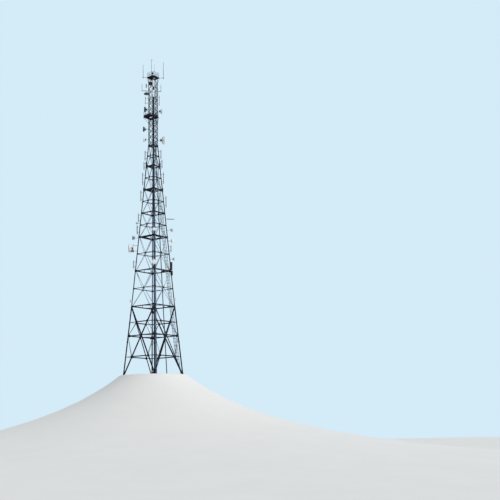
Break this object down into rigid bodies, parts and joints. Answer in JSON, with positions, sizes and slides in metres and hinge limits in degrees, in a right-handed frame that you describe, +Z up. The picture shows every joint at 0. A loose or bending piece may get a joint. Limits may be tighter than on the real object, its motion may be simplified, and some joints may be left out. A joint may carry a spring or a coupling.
{
  "type": "scale model of a lattice radio mast",
  "caption": "Lattice radio mast as a model at one tenth: tapered square tower, slim shaft, decks, caged ladder, dish and panel antennas, whips and lightning rod",
  "frame": {"origin": "under the middle of the near leg's base plate, on the ground", "axes": "+Z up; +X runs along the front right face from the near leg to the right leg; +Y runs along the front left face to the left leg"},
  "size_m": [0.931, 0.931, 7.05],
  "materials": {
    "tower_steel": "weathered dark paint",
    "deck_steel": "weathered grating",
    "galvanised": "dull zinc",
    "bare_metal": "dull",
    "antenna_white": "matt",
    "panel_grey": "matt",
    "cabinet_brown": "weathered",
    "cable_jacket": "matt"
  },
  "bodies": {
    "root": {"cage_hoops": "tower_steel", "cage_straps": "tower_steel", "climbing_ladder": "tower_steel", "corner_braces": "tower_steel", "equipment_boxes": "cabinet_brown", "feeder_cables": "cable_jacket", "feeder_ladder": "galvanised", "foot_diagonals": "tower_steel", "left_dishes": "antenna_white", "left_mounts": "tower_steel", "left_panels": "panel_grey", "lightning_rod": "bare_metal", "lower_bracing_back_left": "tower_steel", "lower_bracing_back_right": "tower_steel", "lower_bracing_front_left": "tower_steel", "lower_bracing_front_right": "tower_steel", "lower_leg_far": "tower_steel", "lower_leg_left": "tower_steel", "lower_leg_near": "tower_steel", "lower_leg_right": "tower_steel", "near_dishes": "antenna_white", "near_mounts": "tower_steel", "outriggers": "bare_metal", "platform_1": "deck_steel", "platform_2": "deck_steel", "platform_3": "deck_steel", "platform_4": "deck_steel", "platform_5": "deck_steel", "platform_6": "deck_steel", "platform_7": "deck_steel", "right_dishes": "antenna_white", "right_mounts": "tower_steel", "right_panels": "panel_grey", "riser": "galvanised", "shaft_bracing_back_left": "tower_steel", "shaft_bracing_back_right": "tower_steel", "shaft_bracing_front_left": "tower_steel", "shaft_bracing_front_right": "tower_steel", "shaft_chords": "tower_steel", "shaft_dishes": "antenna_white", "shaft_mounts": "tower_steel", "shaft_panels": "panel_grey", "shaft_platform": "deck_steel", "shaft_platform_railing": "tower_steel", "shaft_platform_struts": "tower_steel", "top_platform": "deck_steel", "top_platform_railing": "tower_steel", "top_platform_struts": "tower_steel", "top_whips": "bare_metal", "upper_bracing_back_left": "tower_steel", "upper_bracing_back_right": "tower_steel", "upper_bracing_front_left": "tower_steel", "upper_bracing_front_right": "tower_steel", "upper_leg_far": "tower_steel", "upper_leg_left": "tower_steel", "upper_leg_near": "tower_steel", "upper_leg_right": "tower_steel"}
  },
  "joints": []
}
